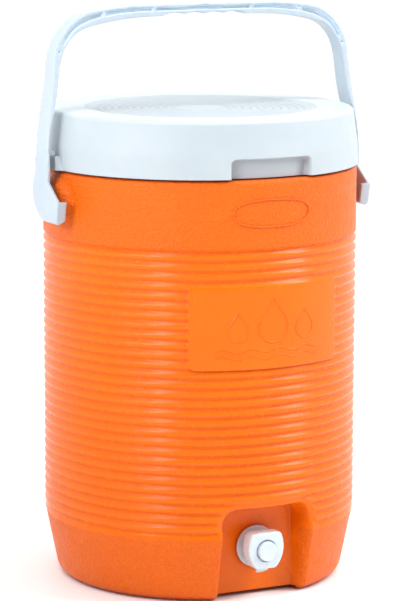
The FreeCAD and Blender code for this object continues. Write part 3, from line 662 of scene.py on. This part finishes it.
def make_lid():
    """The lid's skin, with the finger scoop cut into the front of its skirt."""
    angles = ring_angles([(0, 1.5), (14.2, 0.2), (17.2, 1.2), (20, 2.5), (180, 0)])
    r, z = (np.array(v)[:, None] for v in zip(*lid_rows()))
    x = r * np.sin(angles)
    skirt = r > NOTCH_R - 6 * MM
    in_notch = inside_box(x, z + 0 * x, NOTCH_HALF, LID_BOTTOM - 60 * MM, NOTCH_TOP, 6 * MM)
    share = ramp(in_notch, -0.6 * MM, 1.4 * MM) * (np.cos(angles)[None, :] > 0) * skirt
    inner_count = 5 + 24 + 4    # lid_rows: under the top, down the skirt, round the rim's inner edge
    wall = np.where(np.arange(len(r)) < inner_count, LID_WALL, 0.0)[:, None]
    radius = r - share * np.maximum(r - (NOTCH_R - wall), 0)
    rows = np.stack([radius * np.sin(angles), -radius * np.cos(angles), z + 0 * radius], axis=2)
    lid = turned_mesh("lid_shell", rows, (0, 0, FIELD_UNDER), (0, 0, LID_TOP - RINGS_SINK), 50)
    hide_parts("lid_top_shell")
    return lid


def make_lug(name, side):
    """Tapered block on the side of the skirt, under the handle's keeper pin."""
    x_in = SKIRT_R - 4 * MM
    points = []
    for z, foot in ((LID_BOTTOM, LUG_HALF + LUG_FLARE), (LUG_TOP, LUG_HALF - 1 * MM)):
        plan = [(x_in, -foot), (LUG_FACE_X, -LUG_HALF), (LUG_FACE_X, LUG_HALF), (x_in, foot)]
        points += [(side * x, y, z) for x, y in plan]
    faces = [(0, 3, 2, 1), (4, 5, 6, 7)] + [(k, (k + 1) % 4, (k + 1) % 4 + 4, k + 4) for k in range(4)]
    mesh = bpy.data.meshes.new(name)
    mesh.from_pydata(points, [], faces if side > 0 else [f[::-1] for f in faces])
    lug = new_object(name, mesh)
    bevel = lug.modifiers.new("bevel", "BEVEL")
    bevel.width = 1.3 * MM
    bevel.segments = 4
    return applied(lug)


# ------------------------------------------------------------------ handle and tap

def applied(piece):
    """The piece with its modifiers made real."""
    graph = bpy.context.evaluated_depsgraph_get()
    mesh = bpy.data.meshes.new_from_object(piece.evaluated_get(graph))
    old = piece.data
    piece.modifiers.clear()
    piece.data = mesh
    bpy.data.meshes.remove(old)
    shade(mesh, 60)
    return piece


def softened_copy(node, name, voxel, rounds):
    """A new piece with the CAD node's shape, its edges rounded like a moulding's."""
    piece = new_object(name, frame["nodes"][node].data.copy())
    remesh = piece.modifiers.new("remesh", "REMESH")
    remesh.mode = "VOXEL"
    remesh.voxel_size = voxel
    smooth = piece.modifiers.new("smooth", "SMOOTH")
    smooth.factor = 0.5
    smooth.iterations = rounds
    applied(piece)
    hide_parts(node)
    return piece


def make_return_spring(material):
    """The tap's coil, standing on its seat and riding with the tub."""
    spring = softened_copy("tap_return_spring", "return_spring", 0.15 * MM, 1)
    settle(spring, "tub", material)
    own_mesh(spring)


# ------------------------------------------------------------------ studio

def add_area(name, place, aim, width, height, power, spread=180):
    """A rectangular light turned towards aim; sizes in metres, power in watts, spread in degrees."""
    light = bpy.data.lights.new(name, "AREA")
    light.spread = math.radians(spread)
    light.shape = "RECTANGLE"
    light.size = width
    light.size_y = height
    light.energy = power
    obj = bpy.data.objects.new(name, light)
    obj.location = place
    obj.rotation_euler = (Vector(aim) - Vector(place)).to_track_quat("-Z", "Y").to_euler()
    bpy.context.scene.collection.objects.link(obj)


def add_world():
    """White room: bright above and behind the dispenser, dim towards the viewer."""
    world = bpy.data.worlds.new("studio")
    world.use_nodes = True
    tree = world.node_tree
    place = tree.nodes.new("ShaderNodeTexCoord")
    facing = tree.nodes.new("ShaderNodeVectorMath")
    facing.operation = "DOT_PRODUCT"
    facing.inputs[1].default_value = (0.42, 0.66, 0.62)
    strength = tree.nodes.new("ShaderNodeMapRange")
    for key, number in zip(("From Min", "From Max", "To Min", "To Max"), (-0.6, 0.25, 0.12, 1.25)):
        strength.inputs[key].default_value = number
    tree.links.new(place.outputs["Generated"], facing.inputs[0])
    tree.links.new(facing.outputs["Value"], strength.inputs["Value"])
    tree.links.new(strength.outputs["Result"], tree.nodes["Background"].inputs["Strength"])
    tree.nodes["Background"].inputs["Color"].default_value = (1.0, 1.0, 1.0, 1)
    bpy.context.scene.world = world


def add_lights():
    """A narrow softbox on the left, a wider one on the right, and a lower strip on the left for the lid."""
    aim = (0, 0, 0.28)
    add_area("softbox_left", (-1.22, -0.76, 1.72), aim, 0.26, 1.9, 18)
    add_area("softbox_right", (1.12, -0.86, 1.72), aim, 0.55, 2.0, 36)
    add_area("lid_fill", (-1.25, -0.50, 0.80), (0, 0, 0.48), 0.9, 0.12, 0.9, spread=50)


def add_floor():
    """Near-white ground, far wider than the view."""
    mesh = bpy.data.meshes.new("studio_floor")
    reach = 30.0
    mesh.from_pydata([(-reach, -reach, 0), (reach, -reach, 0), (reach, reach, 0), (-reach, reach, 0)], [],
                     [(0, 1, 2, 3)])
    mesh.materials.append(floor_material())
    new_object("studio_floor", mesh)


def add_camera():
    """Long lens, a little above the lid and 27 degrees to the left of the tap."""
    azimuth, elevation, roll = math.radians(-27.0), math.radians(9.557), math.radians(0.155)
    distance, middle = 3.04034, 0.2895
    away = Vector((math.sin(azimuth) * math.cos(elevation), -math.cos(azimuth) * math.cos(elevation),
                   math.sin(elevation)))
    data = bpy.data.cameras.new("camera")
    data.sensor_width = 36.0
    data.lens = 171.56
    data.shift_x = 0.0019
    data.clip_end = 100
    camera = bpy.data.objects.new("camera", data)
    camera.location = Vector((0, 0, middle)) + away * distance
    look = away.to_track_quat("Z", "Y").to_matrix()
    camera.rotation_euler = (look @ Matrix.Rotation(roll, 3, "Z")).to_euler()
    bpy.context.scene.collection.objects.link(camera)
    bpy.context.scene.camera = camera


# ------------------------------------------------------------------ build

def paint(names, material):
    """Gives CAD nodes that stay in view a better material."""
    for name in names:
        for slot in frame["nodes"][name].material_slots:
            slot.material = material


add_camera()
add_world()
add_lights()
add_floor()

orange = shell_material()
lid_white = white_material("lid_white", (0.435, 0.490, 0.530), (0.455, 0.510, 0.545), 1100, 0.25 * MM,
                           0.42, field_r=RINGS_OUTER_R)
handle_white = white_material("handle_white", (0.42, 0.49, 0.56), (0.44, 0.51, 0.575), 2200, 0.06 * MM,
                              0.33, hollow=CHANNEL_PAINTED_GLOW)
tap_white = white_material("tap_white", (0.58, 0.67, 0.73), (0.60, 0.69, 0.75), 2600, 0.03 * MM, 0.27)
liner_white = white_material("liner_white", (0.70, 0.71, 0.71), (0.75, 0.755, 0.75), 1200, 0.05 * MM, 0.3)

settle(make_tub(), "tub", orange)
for bead in make_front_relief():
    settle(bead, "tub", orange)
settle(make_lid(), "lid", lid_white)
settle(make_lug("lid_lug_right", 1), "lid", lid_white)
settle(make_lug("lid_lug_left", -1), "lid", lid_white)
grip = softened_copy("handle", "bail_handle_grip", 0.95 * MM, 3)
settle(grip, "bail_handle", handle_white)
housing = softened_copy("tap_body", "tap_housing", 0.42 * MM, 6)
settle(housing, "tub", tap_white)

paint(["tap_guide_bush", "tap_lock_nut", "tap_button", "tap_stem"], tap_white)
paint(["inner_liner", "lid_bottom_pan", "lid_fill_plug"], liner_white)
paint(["base_fill_plug"], orange)
paint(["foam_insulation", "lid_foam"], foam_material())
seals = ["lid_seal_ring", "tap_outer_gasket", "tap_inner_gasket", "tap_button_oring", "tap_valve_seal"]
paint(seals, rubber_material())
paint(["pivot_pin_right", "pivot_pin_left"], steel_material("pin_steel", (0.60, 0.60, 0.61), (0.1, 1, 1)))
make_return_spring(steel_material("spring_steel", (0.55, 0.55, 0.57), (1, 0.2, 1)))

bpy.context.scene.view_settings.view_transform = "Standard"
